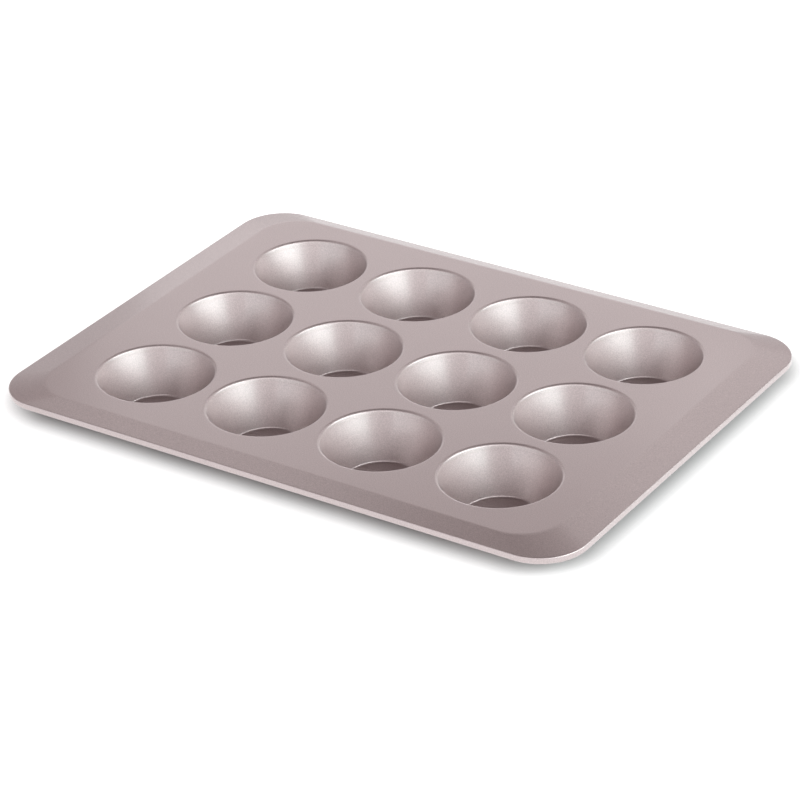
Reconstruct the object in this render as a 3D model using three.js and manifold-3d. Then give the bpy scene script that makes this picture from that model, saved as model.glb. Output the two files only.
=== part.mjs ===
// A muffin pan for twelve cups, in millimetres, +Z up.
// The origin is the middle of the pan on the plane that the cup floors stand on.
// A pressed deck sheet carries twelve drawn cups: each cup's hooked edge is crimped round
// the lip of a collar under the deck. The sheet's edge is rolled round a wire.
import * as THREE from "three";
import { mergeVertices } from "three/addons/utils/BufferGeometryUtils.js";
import Module from "manifold-3d";

// Cup pattern
const columnNames = ["1", "2", "3", "4"]; // left to right, along X
const rowNames = ["front", "middle", "back"]; // along Y
const mouthDiameter = 74.4; // at the deck's surface, where the rounded lip begins
const columnLand = 6.9; // deck left between neighbouring mouths along X
const rowLand = 7.6; // and along Y

// Deck, flange and rim
const deckSheet = 0.6; // thickness
const endMargin = 19.9; // from the outer mouths to the fold line, left and right
const sideMargin = 15.2; // and front and back
const foldCorner = 26; // corner radius of the fold line
const endFlange = 18.8; // from the fold line to the middle of the wire, left and right
const sideFlange = 9.8; // and front and back
const flangeDrop = 3.4; // from the deck down to the top of the rolled edge
const rimCorner = 29.7; // outer corner radius of the rim, seen from above
const rollCorner = 1; // outer radius of the squared roll's corners, in section
const rollStart = 75; // degrees, where the flange runs into the roll's upper corner
const rollReturn = 1; // from the middle of the wire up to the roll's free edge
const wireDiameter = 2.5;
const wireClearance = 0.3;
const wireButtGap = 0.6; // between the two ends of the wire

// Cups and the seam that holds them
const cupSheet = 0.5; // thickness
const cupDepth = 29.5; // from the deck's surface to the cup's floor
const wallTaper = 20.6; // degrees from upright, of collars and cups
const floorRound = 1.5; // inside radius between wall and floor
const mouthRound = 2; // radius of the rounded edge between deck and collar
const collarDepth = 3.1; // from the deck's surface to the underside of the collar's lip
const lipReach = 1.4; // how far the lip turns outwards
const hookReturn = 1.5; // how far the cup's hook comes back over the lip
const seamClearance = 0.3;

// Facets
const roundSteps = 20; // round a cup
const cornerSteps = 6; // round a quarter of the rim
const rollSteps = 3; // round each corner of the roll
const wireSides = 8;

// Levels and radii that the pieces share
const deckTop = cupDepth + cupSheet;
const deckUnder = deckTop - deckSheet;
const mouthRadius = mouthDiameter / 2;
const lipUnder = deckTop - collarDepth;
const lipTop = lipUnder + deckSheet;
const lipOuter = wallRadius(lipTop, deckSheet) + lipReach;
const wireRadius = wireDiameter / 2;
const rollInner = wireRadius + wireClearance;
const rollOuter = rollInner + deckSheet;
const rollCore = rollOuter - rollCorner; // from the middle of the wire to a corner's centre
const wireHeight = deckTop - flangeDrop - rollOuter;

// Places of the cups and half sizes of the loops round the deck
const columnPitch = mouthDiameter + columnLand;
const rowPitch = mouthDiameter + rowLand;
const foldHalfLength = ((columnNames.length - 1) * columnPitch) / 2 + mouthRadius + endMargin;
const foldHalfWidth = ((rowNames.length - 1) * rowPitch) / 2 + mouthRadius + sideMargin;
const wireHalfLength = foldHalfLength + endFlange;
const wireHalfWidth = foldHalfWidth + sideFlange;
const wireCorner = rimCorner - rollOuter;

const cupPlaces = rowNames.flatMap((rowName, row) =>
  columnNames.map((columnName, column) => ({
    name: "cup_" + rowName + "_" + columnName,
    x: (column - (columnNames.length - 1) / 2) * columnPitch,
    y: (row - (rowNames.length - 1) / 2) * rowPitch,
  })),
);

const wasm = await Module();
wasm.setup();

function radians(degrees) {
  return (degrees * Math.PI) / 180;
}

// A rectangle with round corners, counter-clockwise seen from above.
function roundedLoop(halfLength, halfWidth, corner, height) {
  const loop = [];
  for (let quarter = 0; quarter < 4; quarter++) {
    const middle = radians(45 + 90 * quarter);
    const centreX = Math.sign(Math.cos(middle)) * (halfLength - corner);
    const centreY = Math.sign(Math.sin(middle)) * (halfWidth - corner);
    for (let step = 0; step <= cornerSteps; step++) {
      const angle = radians(90 * (quarter + step / cornerSteps));
      const x = centreX + corner * Math.cos(angle);
      const y = centreY + corner * Math.sin(angle);
      loop.push(new THREE.Vector3(x, y, height));
    }
  }
  return loop;
}

// A circle, counter-clockwise seen from above.
function roundLoop(place, radius, height) {
  const loop = [];
  for (let step = 0; step < roundSteps; step++) {
    const angle = radians((360 * step) / roundSteps);
    const x = place.x + radius * Math.cos(angle);
    const y = place.y + radius * Math.sin(angle);
    loop.push(new THREE.Vector3(x, y, height));
  }
  return loop;
}

// The loop round the rim at a distance outwards and upwards from the middle of the wire.
function rimLoop(out, up) {
  return roundedLoop(wireHalfLength + out, wireHalfWidth + out, wireCorner + out, wireHeight + up);
}

// Two triangles for each side between one loop and the next.
function skin(loops) {
  const triangles = [];
  for (let level = 0; level + 1 < loops.length; level++) {
    const near = loops[level];
    const far = loops[level + 1];
    near.forEach((corner, i) => {
      const next = (i + 1) % near.length;
      triangles.push(corner, far[i], far[next], corner, far[next], near[next]);
    });
  }
  return triangles;
}

// A flat face inside one loop, with holes, facing up or down.
function flatFace(outline, holes, facesUp) {
  const corners = [outline, ...holes].flat();
  const faces = THREE.ShapeUtils.triangulateShape(outline, holes);
  return faces.flatMap(([a, b, c]) => {
    const first = corners[a];
    const second = corners[facesUp ? b : c];
    const third = corners[facesUp ? c : b];
    return [first, second, third];
  });
}

function geometryOf(triangles) {
  return mergeVertices(new THREE.BufferGeometry().setFromPoints(triangles));
}

function solidOf(geometry) {
  const bare = geometry.clone();
  bare.deleteAttribute("normal");
  bare.deleteAttribute("uv");
  const merged = mergeVertices(bare);
  const mesh = new wasm.Mesh({
    numProp: 3,
    vertProperties: merged.attributes.position.array,
    triVerts: new Uint32Array(merged.index.array),
  });
  return new wasm.Manifold(mesh);
}

function geometryFrom(solid) {
  const mesh = solid.getMesh();
  const geometry = new THREE.BufferGeometry();
  geometry.setAttribute("position", new THREE.BufferAttribute(mesh.vertProperties, 3));
  geometry.setIndex(new THREE.BufferAttribute(mesh.triVerts, 1));
  return geometry;
}

// A point on the rounded edge of a mouth, at a share of its turn from the deck into the wall.
function mouthPoint(radius, share) {
  const angle = radians((90 - wallTaper) * share);
  const height = deckTop - mouthRound + radius * Math.cos(angle);
  return [mouthRadius - radius * Math.sin(angle), height];
}

// Radius of the tapered wall at a height: collar and cup lie on one cone inside. The outside
// is further out by the sheet, measured level.
function wallRadius(height, sheet) {
  const [startRadius, startHeight] = mouthPoint(mouthRound, 1);
  const inside = startRadius - (startHeight - height) * Math.tan(radians(wallTaper));
  return inside + sheet / Math.cos(radians(wallTaper));
}

// Section of a collar, from the underside of the deck down to the turned-out lip, round it
// and back up over the rounded edge to the deck's surface: [radius, height] pairs.
function collarSection() {
  const underRound = mouthRound - deckSheet;
  return [
    mouthPoint(underRound, 0),
    mouthPoint(underRound, 1 / 2),
    mouthPoint(underRound, 1),
    [wallRadius(lipTop, deckSheet), lipTop],
    [lipOuter, lipTop],
    [lipOuter, lipUnder],
    [wallRadius(lipUnder, 0), lipUnder],
    mouthPoint(mouthRound, 1),
    mouthPoint(mouthRound, 2 / 3),
    mouthPoint(mouthRound, 1 / 3),
    mouthPoint(mouthRound, 0),
  ];
}

// One face of the squared roll, outside or inside, as loops: from the flange round the upper
// outer corner, the lower outer one and the lower inner one, up to the free edge.
function rollLoops(radius) {
  const corners = [
    { out: rollCore, up: rollCore, from: rollStart, to: 0 },
    { out: rollCore, up: -rollCore, from: 0, to: -90 },
    { out: -rollCore, up: -rollCore, from: -90, to: -180 },
  ];
  const loops = corners.flatMap(({ out, up, from, to }) =>
    Array.from({ length: rollSteps + 1 }, (unused, step) => {
      const angle = radians(from + ((to - from) * step) / rollSteps);
      return rimLoop(out + radius * Math.cos(angle), up + radius * Math.sin(angle));
    }),
  );
  return [...loops, rimLoop(-rollCore - radius, rollReturn)];
}

// The deck, its flange and its rolled edge are one skin over the top, round the roll and
// back along the underside, closed by the two faces of the deck and by the collars.
function deckSheetGeometry() {
  const foldTop = roundedLoop(foldHalfLength, foldHalfWidth, foldCorner, deckTop);
  const foldUnder = roundedLoop(foldHalfLength, foldHalfWidth, foldCorner, deckUnder);
  const rollOutside = rollLoops(rollCorner);
  const rollInside = rollLoops(rollCorner - deckSheet).reverse();
  const section = collarSection();
  const collars = cupPlaces.map((place) =>
    section.map(([radius, height]) => roundLoop(place, radius, height)),
  );
  const mouthsUnder = collars.map((loops) => loops[0]);
  const mouthsTop = collars.map((loops) => loops[loops.length - 1]);
  return geometryOf([
    ...flatFace(foldTop, mouthsTop, true),
    ...skin([foldTop, ...rollOutside, ...rollInside, foldUnder]),
    ...flatFace(foldUnder, mouthsUnder, false),
    ...collars.flatMap((loops) => skin(loops)),
  ]);
}

// A cup is turned from one closed section: floor, tapered wall, hook, outside and base.
function cupGeometry() {
  const hookTop = lipUnder - seamClearance;
  const webInner = lipOuter + seamClearance;
  const webOuter = webInner + cupSheet;
  const returnUnder = lipTop + seamClearance;
  const returnTop = returnUnder + cupSheet;
  const returnInner = webOuter - hookReturn;

  // The round between wall and floor, from the floor's edge up to the wall.
  const roundCentreHeight = cupSheet + floorRound;
  const roundCentre = wallRadius(roundCentreHeight, -floorRound);
  const turn = 90 - wallTaper;
  const round = (radius, share) =>
    new THREE.Vector2(
      roundCentre + radius * Math.sin(radians(turn * share)),
      roundCentreHeight - radius * Math.cos(radians(turn * share)),
    );
  const outerRound = floorRound + cupSheet;
  const flangeUnder = hookTop - cupSheet;

  const section = [
    new THREE.Vector2(0, 0),
    round(outerRound, 0),
    round(outerRound, 0.5),
    round(outerRound, 1),
    new THREE.Vector2(wallRadius(flangeUnder, cupSheet), flangeUnder),
    new THREE.Vector2(webOuter, flangeUnder),
    new THREE.Vector2(webOuter, returnTop),
    new THREE.Vector2(returnInner, returnTop),
    new THREE.Vector2(returnInner, returnUnder),
    new THREE.Vector2(webInner, returnUnder),
    new THREE.Vector2(webInner, hookTop),
    new THREE.Vector2(wallRadius(hookTop, 0), hookTop),
    round(floorRound, 1),
    round(floorRound, 0.5),
    round(floorRound, 0),
    new THREE.Vector2(0, cupSheet),
  ];
  const turned = new THREE.LatheGeometry(section, roundSteps);
  turned.rotateX(Math.PI / 2); // the lathe turns about Y, and the cup stands along Z
  turned.rotateZ(Math.PI / 2); // its corners line up with those of the collar
  return turned;
}

// The wire is a closed loop of round section, cut through at its butt joint.
function rimWireGeometry() {
  const loops = [];
  for (let side = 0; side <= wireSides; side++) {
    const angle = radians(90 - (360 * side) / wireSides);
    loops.push(rimLoop(wireRadius * Math.cos(angle), wireRadius * Math.sin(angle)));
  }
  const loop = solidOf(geometryOf(skin(loops)));
  const cutter = new THREE.BoxGeometry(wireButtGap, 2 * wireDiameter, 2 * wireDiameter);
  cutter.translate(0, wireHalfWidth, wireHeight);
  return geometryFrom(loop.subtract(solidOf(cutter)));
}

const coating = { color: 0xb7a7a5, roughness: 0.4, metalness: 0.75 }; // warm grey satin coat
const pan = new THREE.Group();

function add(name, geometry, finish) {
  const mesh = new THREE.Mesh(geometry, new THREE.MeshStandardMaterial(finish));
  mesh.name = name;
  pan.add(mesh);
  return mesh;
}

add("deck_sheet", deckSheetGeometry(), coating);
for (const place of cupPlaces) {
  add(place.name, cupGeometry(), coating).position.set(place.x, place.y, 0);
}
add("rim_wire", rimWireGeometry(), { color: 0x8f9296, roughness: 0.35, metalness: 1 });

export default pan;
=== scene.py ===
import math

import bmesh
import bpy
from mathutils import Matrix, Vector


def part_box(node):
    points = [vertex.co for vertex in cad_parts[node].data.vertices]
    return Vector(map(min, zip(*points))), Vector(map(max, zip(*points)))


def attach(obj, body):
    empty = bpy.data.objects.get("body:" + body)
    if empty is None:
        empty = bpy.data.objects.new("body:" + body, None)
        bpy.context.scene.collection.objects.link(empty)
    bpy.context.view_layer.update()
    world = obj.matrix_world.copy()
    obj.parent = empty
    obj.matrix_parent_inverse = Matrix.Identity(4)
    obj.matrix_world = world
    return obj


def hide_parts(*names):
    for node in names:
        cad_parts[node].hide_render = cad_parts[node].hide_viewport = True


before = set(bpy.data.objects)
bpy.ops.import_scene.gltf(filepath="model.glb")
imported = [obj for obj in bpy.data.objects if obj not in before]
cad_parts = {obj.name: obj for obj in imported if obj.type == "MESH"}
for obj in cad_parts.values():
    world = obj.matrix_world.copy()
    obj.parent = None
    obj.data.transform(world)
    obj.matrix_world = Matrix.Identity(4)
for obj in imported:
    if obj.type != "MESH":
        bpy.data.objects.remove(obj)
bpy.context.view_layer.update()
mm = 0.001  # the scene is in metres
print("frame loaded:", len(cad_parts), "nodes")

# places that the solid model gives
cupCentres = {}
for node in sorted(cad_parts):
    if node.startswith("cup_"):
        low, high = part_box(node)
        cupCentres[node] = ((low.x + high.x) / 2, (low.y + high.y) / 2)
digits = 5  # places are compared to a hundredth of a millimetre
columnXs = sorted({round(x, digits) for x, y in cupCentres.values()})
rowYs = sorted({round(y, digits) for x, y in cupCentres.values()})
cellHalfX = (columnXs[1] - columnXs[0]) / 2  # each cup sits in a cell of the deck
cellHalfY = (rowYs[1] - rowYs[0]) / 2
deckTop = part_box("deck_sheet")[1].z
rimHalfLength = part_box("deck_sheet")[1].x
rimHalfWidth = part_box("deck_sheet")[1].y


# general mesh helpers
def arc(centre, radius, start, end, steps):
    points = []
    for step in range(steps + 1):
        angle = math.radians(start + (end - start) * step / steps)
        points.append((centre[0] + radius * math.cos(angle), centre[1] + radius * math.sin(angle)))
    return points


def between(first, last, steps):  # inner points of a straight run, ends left out
    points = []
    for step in range(1, steps):
        share = step / steps
        points.append((first[0] + (last[0] - first[0]) * share, first[1] + (last[1] - first[1]) * share))
    return points


def roundedCorner(before, corner, after, size, steps):  # a small round where two runs meet
    towardsBefore = (Vector(before) - Vector(corner)).normalized() * size
    towardsAfter = (Vector(after) - Vector(corner)).normalized() * size
    points = []
    for step in range(steps + 1):
        share = step / steps
        offset = towardsBefore * (1 - share) ** 2 + towardsAfter * share**2
        points.append((corner[0] + offset.x, corner[1] + offset.y))
    return points


def circle(centre, radius, height, count, start):  # counter-clockwise from the start, in degrees
    points = []
    for step in range(count):
        angle = math.radians(start + 360 * step / count)
        x = centre[0] + radius * math.cos(angle)
        y = centre[1] + radius * math.sin(angle)
        points.append((x, y, height))
    return points


def addRing(bm, points):
    return [bm.verts.new(point) for point in points]


def joinRings(bm, rings):
    for near, far in zip(rings, rings[1:]):
        for i in range(len(near)):
            following = (i + 1) % len(near)
            bm.faces.new((near[i], far[i], far[following], near[following]))


meshFinish = {
    "weld": 0.0001 * mm,  # points closer than this become one
    "flatWeight": 100,  # how far the large flats rule the shading
}


def finishPiece(name, bm, material, slot, *nodes):
    bmesh.ops.remove_doubles(bm, verts=bm.verts, dist=meshFinish["weld"])
    bmesh.ops.recalc_face_normals(bm, faces=bm.faces)
    mesh = bpy.data.meshes.new(name)
    bm.to_mesh(mesh)
    bm.free()
    for face in mesh.polygons:
        face.use_smooth = True
    mesh.materials.append(material)
    piece = bpy.data.objects.new(name, mesh)
    bpy.context.scene.collection.objects.link(piece)
    normals = piece.modifiers.new("evenShading", "WEIGHTED_NORMAL")  # flats stay flat beside bends
    normals.mode = "FACE_AREA"
    normals.weight = meshFinish["flatWeight"]
    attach(piece, "root")
    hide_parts(*nodes)


# finish of the pan
coatLook = {
    "tint": (0.445, 0.379, 0.379, 1),
    "flake": (0.6, 0.511, 0.511, 1),  # lighter flecks in the coat
    "flakeSize": 0.6 * mm,
    "flakeDetail": 2,
    "flakeSpan": (0.35, 0.75),  # of the noise: all tint below, all fleck above
    "cloudSize": 45 * mm,  # of the faint patches that any sprayed coat has
    "cloudDetail": 3,
    "cloudSpan": (0.97, 1.03),  # how far they darken and lighten the coat
    "roughness": (0.38, 0.46),
    "metallic": 0.92,
    "clear": 1,  # a glossy clear layer over the tint
    "clearBend": 1.6,  # its index of refraction
    "clearRoughness": 0.2,
    "grainDepth": 0.004 * mm,  # of the flecks
    "waveSize": 60 * mm,  # of the slow waves in pressed sheet
    "waveDetail": 1,
    "waveDepth": 0.05 * mm,
    "bumpStrength": 0.5,
}


def newMaterial(name):
    material = bpy.data.materials.new(name)
    material.use_nodes = True
    tree = material.node_tree
    return material, tree.nodes, tree.links, tree.nodes["Principled BSDF"]


def noiseNode(nodes, links, coords, size, detail):
    noise = nodes.new("ShaderNodeTexNoise")
    noise.inputs["Scale"].default_value = 1 / size
    noise.inputs["Detail"].default_value = detail
    links.new(coords.outputs["Object"], noise.inputs["Vector"])
    return noise


def rangeNode(nodes, links, noise, span):
    spread = nodes.new("ShaderNodeMapRange")
    spread.inputs["To Min"].default_value = span[0]
    spread.inputs["To Max"].default_value = span[1]
    links.new(noise.outputs["Fac"], spread.inputs["Value"])
    return spread


def bumpNode(nodes, links, height, depth):
    bump = nodes.new("ShaderNodeBump")
    bump.inputs["Distance"].default_value = depth
    bump.inputs["Strength"].default_value = coatLook["bumpStrength"]
    links.new(height.outputs["Fac"], bump.inputs["Height"])
    return bump


def makeCoat():
    material, nodes, links, shader = newMaterial("warmGreyCoat")
    coords = nodes.new("ShaderNodeTexCoord")
    flakes = noiseNode(nodes, links, coords, coatLook["flakeSize"], coatLook["flakeDetail"])
    clouds = noiseNode(nodes, links, coords, coatLook["cloudSize"], coatLook["cloudDetail"])
    waves = noiseNode(nodes, links, coords, coatLook["waveSize"], coatLook["waveDetail"])

    flakeRamp = nodes.new("ShaderNodeValToRGB")  # most of the coat is the tint, with light flecks
    for stop, place, colour in zip(flakeRamp.color_ramp.elements, coatLook["flakeSpan"], ("tint", "flake")):
        stop.position = place
        stop.color = coatLook[colour]
    links.new(flakes.outputs["Fac"], flakeRamp.inputs["Fac"])

    cloudRange = rangeNode(nodes, links, clouds, coatLook["cloudSpan"])
    clouded = nodes.new("ShaderNodeVectorMath")
    clouded.operation = "SCALE"
    links.new(flakeRamp.outputs["Color"], clouded.inputs[0])
    links.new(cloudRange.outputs["Result"], clouded.inputs["Scale"])
    links.new(clouded.outputs["Vector"], shader.inputs["Base Color"])

    roughRange = rangeNode(nodes, links, flakes, coatLook["roughness"])
    links.new(roughRange.outputs["Result"], shader.inputs["Roughness"])
    shader.inputs["Metallic"].default_value = coatLook["metallic"]
    shader.inputs["Coat Weight"].default_value = coatLook["clear"]
    shader.inputs["Coat IOR"].default_value = coatLook["clearBend"]
    shader.inputs["Coat Roughness"].default_value = coatLook["clearRoughness"]

    grainBump = bumpNode(nodes, links, flakes, coatLook["grainDepth"])
    waveBump = bumpNode(nodes, links, waves, coatLook["waveDepth"])
    links.new(waveBump.outputs["Normal"], grainBump.inputs["Normal"])
    links.new(grainBump.outputs["Normal"], shader.inputs["Normal"])
    return material


wireLook = {
    "steel": (0.50, 0.51, 0.52, 1),
    "drawn": (0.60, 0.61, 0.62, 1),  # lighter streaks
    "streakSize": 2 * mm,
    "streakDetail": 4,
    "metallic": 1,
    "roughness": 0.35,
}


def makeWireSteel():
    material, nodes, links, shader = newMaterial("drawnWireSteel")
    coords = nodes.new("ShaderNodeTexCoord")
    streaks = noiseNode(nodes, links, coords, wireLook["streakSize"], wireLook["streakDetail"])
    ramp = nodes.new("ShaderNodeValToRGB")
    ramp.color_ramp.elements[0].color = wireLook["steel"]
    ramp.color_ramp.elements[1].color = wireLook["drawn"]
    links.new(streaks.outputs["Fac"], ramp.inputs["Fac"])
    links.new(ramp.outputs["Color"], shader.inputs["Base Color"])
    shader.inputs["Metallic"].default_value = wireLook["metallic"]
    shader.inputs["Roughness"].default_value = wireLook["roughness"]
    return material


coat = makeCoat()
wireSteel = makeWireSteel()
print("finishes made")

# mouth and seam where a cup hangs under the deck, shared by deck and cups
seam = {
    "mouth": 37.2 * mm,  # radius where the rounded edge leaves the deck
    "round": 2.0 * mm,  # radius of that edge
    "taper": 20.6,  # degrees from upright, of collars and cups
    "depth": 3.1 * mm,  # deck's surface to the underside of the collar's lip
    "reach": 1.4 * mm,  # how far the lip turns outwards
    "return": 1.5 * mm,  # how far the cup's hook comes back over it
    "gap": 0.02 * mm,  # pressed tight and coated
    "edge": 0.04 * mm,  # small round on the edges
    "deckSheet": 0.6 * mm,
    "cupSheet": 0.5 * mm,
    "roundSteps": 12,  # over the rounded edge
    "underSteps": 6,  # back along its underside
    "edgeSteps": 3,  # round a small edge
}
taperAngle = math.radians(seam["taper"])
deckUnder = deckTop - seam["deckSheet"]
lipUnder = deckTop - seam["depth"]
lipTop = lipUnder + seam["deckSheet"]


def wallRadius(height, sheet):  # collar and cup lie on one cone inside, the outside is a sheet further
    startRadius = seam["mouth"] - seam["round"] * math.cos(taperAngle)
    startHeight = deckTop - seam["round"] * (1 - math.sin(taperAngle))
    return startRadius - (startHeight - height) * math.tan(taperAngle) + sheet / math.cos(taperAngle)


lipOuter = wallRadius(lipTop, seam["deckSheet"]) + seam["reach"]

# deck sheet: cells with collars, fold, flange and rolled edge
deck = {
    "foldCorner": 26 * mm,
    "endFlange": 18.8 * mm,  # fold line to the middle of the wire
    "sideFlange": 9.8 * mm,
    "flangeDrop": 3.4 * mm,
    "rimCorner": 29.7 * mm,
    "rollHalf": 2.15 * mm,  # half the height of the squared roll
    "rollCorner": 1.0 * mm,  # outer radius of its corners
    "rollReturn": 1.0 * mm,  # middle of the wire up to the roll's free edge
    "foldSoftness": 0.07,  # share of the flange that the fold takes up on each side
    "cellSteps": 24,  # along one side of a cell
    "cornerSteps": 8,  # along half a corner
    "rollSteps": 8,  # round one corner of the roll
    "flatShares": (0, 0.45, 0.8, 1),  # rings between a cell's outline and its mouth
    "slopeShares": (0.3, 0.6, 0.85),  # rings down the flange, after the fold
}
wireHalfLength = rimHalfLength - deck["rollHalf"]
wireHalfWidth = rimHalfWidth - deck["rollHalf"]
wireCorner = deck["rimCorner"] - deck["rollHalf"]
wireHeight = deckTop - deck["flangeDrop"] - deck["rollHalf"]
rollCore = deck["rollHalf"] - deck["rollCorner"]  # middle of the wire to a corner's centre
foldHalfLength = wireHalfLength - deck["endFlange"]
foldHalfWidth = wireHalfWidth - deck["sideFlange"]
cornerSigns = [(-1, -1), (1, -1), (1, 1), (-1, 1)]  # front left, then counter-clockwise
frontLeft = 225  # degrees from +X, where a cell's outline starts
sideCells = [len(columnXs), len(rowYs), len(columnXs), len(rowYs)]  # front, right, back, left


def cellSpread():  # positions along a cell's side, -1 to 1, as seen from the cup's middle
    steps = deck["cellSteps"]
    return [math.tan(math.radians(-45 + 90 * step / steps)) for step in range(steps)]


def cellRing(centre, height):  # outline of one cell, counter-clockwise from its front left corner
    points = []
    for side in range(4):
        for spread in cellSpread():
            across, along = spread, -1
            for turn in range(side):
                across, along = -along, across
            points.append((centre[0] + across * cellHalfX, centre[1] + along * cellHalfY, height))
    return points


def cupRing(centre, radius, height):  # circle with its points in line with those of the cell
    return circle(centre, radius, height, 4 * deck["cellSteps"], frontLeft)


def blockRing(height):  # outline of all the cells together
    halfX = columnXs[-1] + cellHalfX
    halfY = rowYs[-1] + cellHalfY
    points = []
    for centreX in columnXs:
        points += [(centreX + spread * cellHalfX, -halfY, height) for spread in cellSpread()]
    for centreY in rowYs:
        points += [(halfX, centreY + spread * cellHalfY, height) for spread in cellSpread()]
    for centreX in reversed(columnXs):
        points += [(centreX - spread * cellHalfX, halfY, height) for spread in cellSpread()]
    for centreY in reversed(rowYs):
        points += [(-halfX, centreY - spread * cellHalfY, height) for spread in cellSpread()]
    return points


def rimStations():  # (corner the station belongs to, next corner, share between them, outward angle)
    stations = []
    bend = deck["cornerSteps"]
    for side in range(4):
        count = sideCells[side] * deck["cellSteps"]
        for step in range(count):
            share = min(max((step - bend) / (count - 2 * bend), 0), 1)
            turn = 45 * min(step / bend - 1, 0) + 45 * max((step - count) / bend + 1, 0)
            stations.append((side, (side + 1) % 4, share, math.radians(270 + 90 * side + turn)))
    return stations


def rimPoint(station, halfLength, halfWidth, corner):
    first, second, share, angle = station
    signX = cornerSigns[first][0] * (1 - share) + cornerSigns[second][0] * share
    signY = cornerSigns[first][1] * (1 - share) + cornerSigns[second][1] * share
    x = signX * (halfLength - corner) + corner * math.cos(angle)
    y = signY * (halfWidth - corner) + corner * math.sin(angle)
    return Vector((x, y))


def flangeSection(station):  # points over the top, round the roll and back underneath
    fold = rimPoint(station, foldHalfLength, foldHalfWidth, deck["foldCorner"])
    wireMiddle = rimPoint(station, wireHalfLength, wireHalfWidth, wireCorner)
    outward = Vector((math.cos(station[3]), math.sin(station[3])))
    run = (wireMiddle - fold).length + rollCore
    fall = deckTop - wireHeight - rollCore
    slope = math.atan2(fall, run) - math.asin(deck["rollCorner"] / math.hypot(fall, run))
    lean = math.degrees(slope)
    tangent = wireMiddle + outward * (rollCore + deck["rollCorner"] * math.sin(slope))
    tangentHeight = wireHeight + rollCore + deck["rollCorner"] * math.cos(slope)
    soft = deck["foldSoftness"]
    top, under = [], []
    for share in (-soft, -soft / 2, 0, soft / 2, soft, *deck["slopeShares"]):
        tilt = min((share + soft) / (2 * soft), 1)  # 0 on the deck, 1 on the slope
        dropped = tilt * (share + soft) / 2 if tilt < 1 else share
        place = fold + (tangent - fold) * share
        height = deckTop + (tangentHeight - deckTop) * dropped
        inset = outward * seam["deckSheet"] * math.sin(slope * tilt)
        top.append((place.x, place.y, height))
        underPlace = place - inset
        under.append((underPlace.x, underPlace.y, height - seam["deckSheet"] * math.cos(slope * tilt)))
    outside, inside = [], []
    for radius, points in ((deck["rollCorner"], outside), (deck["rollCorner"] - seam["deckSheet"], inside)):
        path = arc((rollCore, rollCore), radius, 90 - lean, 0, deck["rollSteps"])
        path += arc((rollCore, -rollCore), radius, 0, -90, deck["rollSteps"])
        path += arc((-rollCore, -rollCore), radius, -90, -180, deck["rollSteps"])
        path.append((-rollCore - radius, deck["rollReturn"]))
        for out, up in path:
            place = wireMiddle + outward * out
            points.append((place.x, place.y, wireHeight + up))
    return top + outside + inside[::-1] + under[::-1]


def collarSection():  # deck, rounded edge, collar, turned-out lip, and back up on the underside
    middle = (seam["mouth"], deckTop - seam["round"])
    section = arc(middle, seam["round"], 90, 180 - seam["taper"], seam["roundSteps"])
    corners = [
        section[-1],
        (wallRadius(lipUnder, 0), lipUnder),
        (lipOuter, lipUnder),
        (lipOuter, lipTop),
        (wallRadius(lipTop, seam["deckSheet"]), lipTop),
    ]
    for before, corner, after in zip(corners, corners[1:], corners[2:]):
        section += roundedCorner(before, corner, after, seam["edge"], seam["edgeSteps"])
    section.append(corners[-1])
    underRound = seam["round"] - seam["deckSheet"]
    return section + arc(middle, underRound, 180 - seam["taper"], 90, seam["underSteps"])


def makeDeckSheet():
    bm = bmesh.new()
    section = collarSection()
    for centre in cupCentres.values():
        rings = []
        for height in (deckTop, deckUnder):
            outline = cellRing(centre, height)
            mouth = cupRing(centre, seam["mouth"], height)
            flat = []
            for share in deck["flatShares"]:
                flat.append([Vector(a).lerp(Vector(b), share) for a, b in zip(outline, mouth)])
            rings.append([addRing(bm, points) for points in flat])
        collar = [addRing(bm, cupRing(centre, radius, height)) for radius, height in section]
        joinRings(bm, rings[0] + collar + rings[1][::-1])
    sections = [flangeSection(station) for station in rimStations()]
    rim = [addRing(bm, points) for points in zip(*sections)]
    joinRings(bm, [addRing(bm, blockRing(deckTop))] + rim + [addRing(bm, blockRing(deckUnder))])
    finishPiece("deckSheetFine", bm, coat, "coated_steel", "deck_sheet")


makeDeckSheet()
print("deck sheet made")

# cups: turned from one section each
cup = {
    "floor": 0.5 * mm,  # thickness of the floor, which stands on the table
    "round": 1.5 * mm,  # inside round between wall and floor
    "bead": 0.4 * mm,  # round on the outside of the hook
    "turns": 96,
    "wallSteps": 6,
    "roundSteps": 8,
    "floorShares": (0, 0.35, 0.7),  # rings from the middle of the floor outwards
}


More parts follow.
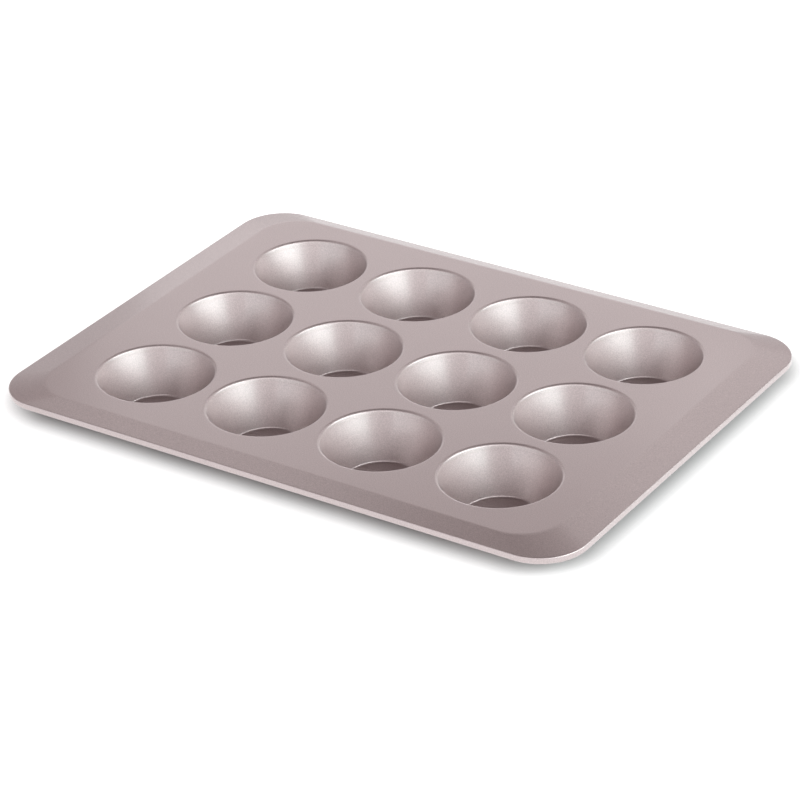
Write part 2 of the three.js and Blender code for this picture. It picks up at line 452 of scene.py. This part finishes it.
def cupSection():  # from the middle of the floor up the inside, over the hook and down the outside
    sheet, gap, edge = seam["cupSheet"], seam["gap"], seam["edge"]
    hookTop = lipUnder - gap
    hookUnder = hookTop - sheet
    webInner = lipOuter + gap
    webOuter = webInner + sheet
    returnUnder = lipTop + gap
    returnTop = returnUnder + sheet
    returnInner = webOuter - seam["return"]
    roundCentre = (wallRadius(cup["floor"] + cup["round"], -cup["round"]), cup["floor"] + cup["round"])
    inner = arc(roundCentre, cup["round"], 270, 360 - seam["taper"], cup["roundSteps"])
    outer = arc(roundCentre, cup["round"] + sheet, 360 - seam["taper"], 270, cup["roundSteps"])
    insideTop = (wallRadius(hookTop, 0), hookTop)
    throat = roundedCorner(inner[-1], insideTop, (webInner, hookTop), edge, seam["edgeSteps"])
    outsideTop = (wallRadius(hookUnder, sheet), hookUnder)
    bead = []
    hook = [(returnInner, returnTop), (webOuter, returnTop), (webOuter, hookUnder), outsideTop, outer[0]]
    for before, corner, after in zip(hook, hook[1:], hook[2:]):
        bead += roundedCorner(before, corner, after, cup["bead"], seam["edgeSteps"])
    floorEdge = inner[0][0]
    section = [(floorEdge * share, cup["floor"]) for share in cup["floorShares"]]
    section += inner + between(inner[-1], throat[0], cup["wallSteps"]) + throat
    section += [(webInner, hookTop), (webInner, returnUnder)]
    section += [(returnInner, returnUnder), (returnInner, returnTop)]
    section += bead + between(bead[-1], outer[0], cup["wallSteps"]) + outer
    section += [(floorEdge * share, 0) for share in reversed(cup["floorShares"])]
    return section


def makeCup(node, section):
    bm = bmesh.new()
    centre = cupCentres[node]
    rings = []
    for radius, height in section[1:-1]:
        rings.append(addRing(bm, circle(centre, radius, height, cup["turns"], 0)))
    joinRings(bm, rings)
    for ring, height in ((rings[0], section[0][1]), (rings[-1], section[-1][1])):
        middle = bm.verts.new((centre[0], centre[1], height))
        for i in range(len(ring)):
            bm.faces.new((middle, ring[i], ring[(i + 1) % len(ring)]))
    finishPiece(node + "_fine", bm, coat, "coated_steel", node)


sharedSection = cupSection()
for cupNode in cupCentres:
    makeCup(cupNode, sharedSection)
print("cups made:", len(cupCentres))

# rim wire, seen only through the slit under the rolled edge
wire = {"radius": 1.25 * mm, "buttGap": 0.6 * mm, "sides": 16}


def makeRimWire():
    bm = bmesh.new()
    stations = rimStations()
    path = [(rimPoint(s, wireHalfLength, wireHalfWidth, wireCorner), s[3]) for s in stations]
    atBack = [i for i, (point, angle) in enumerate(path) if point.y > 0]
    start = min(atBack, key=lambda i: abs(path[i][0].x))
    path = path[start:] + path[: start + 1]  # begins and ends at the butt joint, at the back
    ends = (Vector((-wire["buttGap"] / 2, 0)), Vector((wire["buttGap"] / 2, 0)))
    path[0] = (path[0][0] + ends[0], path[0][1])
    path[-1] = (path[-1][0] + ends[1], path[-1][1])
    rings = []
    for point, angle in path:
        outward = Vector((math.cos(angle), math.sin(angle)))
        points = []
        for side in range(wire["sides"]):
            turn = 2 * math.pi * side / wire["sides"]
            place = point + outward * wire["radius"] * math.cos(turn)
            points.append((place.x, place.y, wireHeight + wire["radius"] * math.sin(turn)))
        rings.append(addRing(bm, points))
    joinRings(bm, rings)
    bm.faces.new(rings[0])
    bm.faces.new(reversed(rings[-1]))
    finishPiece("rimWireFine", bm, wireSteel, "wire_steel", "rim_wire")


makeRimWire()
print("rim wire made")

# floor, light and camera
# the paper is a pale grey that the eye sees lifted to white, but for a field under the pan where the lift
# is held back: a painted shadow, sized and set off to the shadow's side, which deepens the real shadow that
# the lamps cast there
floorLook = {
    "size": 8,  # metres
    "paper": (0.53, 0.53, 0.53, 1),
    "roughness": 0.9,
    "gloss": 0,
    "glow": (1, 1, 1, 1),  # colour of the lift
    "lift": (0, 0.9),  # in the painted shadow field, around it
    "middle": (-16 * mm, 28 * mm, 0),  # of the painted shadow field, off to the side where the shadow falls
    "core": (164 * mm, 112 * mm, 0),  # half extents of the painted shadow field
    "fade": (29 * mm, 55 * mm),  # distance from it over which the lift sets in, the painted shadow's soft edge
}


def eyeRays(nodes, links):  # 1 where the paper is seen straight, in metal or through glass
    path = nodes.new("ShaderNodeLightPath")
    seen = path.outputs["Is Camera Ray"]
    for kind in ("Is Glossy Ray", "Is Transmission Ray"):
        either = nodes.new("ShaderNodeMath")
        either.operation = "MAXIMUM"
        links.new(seen, either.inputs[0])
        links.new(path.outputs[kind], either.inputs[1])
        seen = either.outputs["Value"]
    return seen


def liftOutsidePaintedShadow(nodes, links):  # grows with the distance from the painted shadow field
    place = nodes.new("ShaderNodeTexCoord").outputs["Object"]
    for operation, value in (
        ("SUBTRACT", floorLook["middle"]),
        ("ABSOLUTE", None),
        ("SUBTRACT", floorLook["core"]),
        ("MAXIMUM", (0, 0, 0)),
    ):
        step = nodes.new("ShaderNodeVectorMath")
        step.operation = operation
        links.new(place, step.inputs[0])
        if value:
            step.inputs[1].default_value = value
        place = step.outputs["Vector"]
    distance = nodes.new("ShaderNodeVectorMath")
    distance.operation = "LENGTH"
    links.new(place, distance.inputs[0])
    fade = nodes.new("ShaderNodeMapRange")
    fade.interpolation_type = "SMOOTHSTEP"
    fade.inputs["From Min"].default_value, fade.inputs["From Max"].default_value = floorLook["fade"]
    fade.inputs["To Min"].default_value, fade.inputs["To Max"].default_value = floorLook["lift"]
    links.new(distance.outputs["Value"], fade.inputs["Value"])
    return fade.outputs["Result"]


def makeFloor():
    half = floorLook["size"] / 2
    mesh = bpy.data.meshes.new("paperFloor")
    corners = [(signX * half, signY * half, 0) for signX, signY in cornerSigns]
    mesh.from_pydata(corners, [], [(0, 1, 2, 3)])
    floor = bpy.data.objects.new("paperFloor", mesh)
    bpy.context.scene.collection.objects.link(floor)
    material, nodes, links, shader = newMaterial("palePaper")
    shader.inputs["Base Color"].default_value = floorLook["paper"]
    shader.inputs["Roughness"].default_value = floorLook["roughness"]
    shader.inputs["Specular IOR Level"].default_value = floorLook["gloss"]
    shader.inputs["Emission Color"].default_value = floorLook["glow"]
    # the glow lifts the paper to white, except in the painted shadow field under the pan
    lift = nodes.new("ShaderNodeMath")
    lift.operation = "MULTIPLY"
    links.new(eyeRays(nodes, links), lift.inputs[0])
    links.new(liftOutsidePaintedShadow(nodes, links), lift.inputs[1])
    links.new(lift.outputs["Value"], shader.inputs["Emission Strength"])
    mesh.materials.append(material)


studio = {
    "sky": 0.77,  # strength of the room's light
    # height of a direction (0 level, 1 overhead) and the colour there: white walls, dark ceiling
    "bands": [
        (0, (0.84, 0.84, 0.84, 1)),
        (0.25, (1, 0.92, 0.93, 1)),
        (0.5, (0.54, 0.47, 0.47, 1)),
        (0.75, (0.55, 0.47, 0.47, 1)),
        (1, (0.14, 0.1, 0.1, 1)),
    ],
    "boxes": [
        # name, place, width, height, watts, colour
        ("rightBox", (1.59, 0.18, 0.7), 2.8, 1.0, 17, (0.8, 1, 0.97)),
        ("keyBox", (1.49, 0.21, 0.80), 1.6, 0.7, 8.5, (0.98, 1, 1)),
        ("frontBox", (0.93, -1.30, 1.03), 2.1, 1.1, 10, (0.96, 1, 1)),
        ("lowBox", (-0.64, -1.70, 0.58), 2.2, 0.6, 5, (0.88, 1, 1)),
        ("backBox", (-0.295, 0.435, 0.25), 0.5, 0.3, 0.235, (1, 1, 1)),
        ("backRightBox", (0.06, 0.53, 0.40), 0.35, 0.3, 0.2, (1, 1, 1)),
        ("highLeftBox", (-0.41, 0.05, 0.56), 0.4, 0.3, 0.21, (1, 1, 1)),
    ],
}


def makeWorld():
    world = bpy.data.worlds.new("studioRoom")
    bpy.context.scene.world = world
    world.use_nodes = True
    nodes, links = world.node_tree.nodes, world.node_tree.links
    room = nodes["Background"]
    room.inputs["Strength"].default_value = studio["sky"]
    coords = nodes.new("ShaderNodeTexCoord")
    split = nodes.new("ShaderNodeSeparateXYZ")
    links.new(coords.outputs["Generated"], split.inputs["Vector"])
    ramp = nodes.new("ShaderNodeValToRGB")
    for i, (height, colour) in enumerate(studio["bands"]):
        made = i < len(ramp.color_ramp.elements)  # a new ramp has two stops
        stop = ramp.color_ramp.elements[i] if made else ramp.color_ramp.elements.new(height)
        stop.position = height
        stop.color = colour
    links.new(split.outputs["Z"], ramp.inputs["Fac"])
    links.new(ramp.outputs["Color"], room.inputs["Color"])


def makeBox(name, place, width, height, watts, colour):
    light = bpy.data.lights.new(name, "AREA")
    light.shape = "RECTANGLE"
    light.size = width
    light.size_y = height
    light.energy = watts
    light.color = colour
    lamp = bpy.data.objects.new(name, light)
    lamp.location = place
    lamp.rotation_euler = (-Vector(place)).to_track_quat("-Z", "Y").to_euler()  # aimed at the pan
    lamp.visible_camera = False
    bpy.context.scene.collection.objects.link(lamp)


view = {
    "place": (1.01514, -1.47607, 1.00332),
    "turn": (60.852, 2.152, 33.343),  # degrees
    "lens": 152.39,
    "sensor": 36,
}


def makeCamera():
    data = bpy.data.cameras.new("photoCamera")
    data.lens = view["lens"]
    data.sensor_width = view["sensor"]
    camera = bpy.data.objects.new("photoCamera", data)
    camera.location = view["place"]
    camera.rotation_euler = [math.radians(angle) for angle in view["turn"]]
    bpy.context.scene.collection.objects.link(camera)
    bpy.context.scene.camera = camera


makeFloor()
makeWorld()
for box in studio["boxes"]:
    makeBox(*box)
makeCamera()
bpy.context.scene.view_settings.view_transform = "Standard"
print("floor, light and camera set")
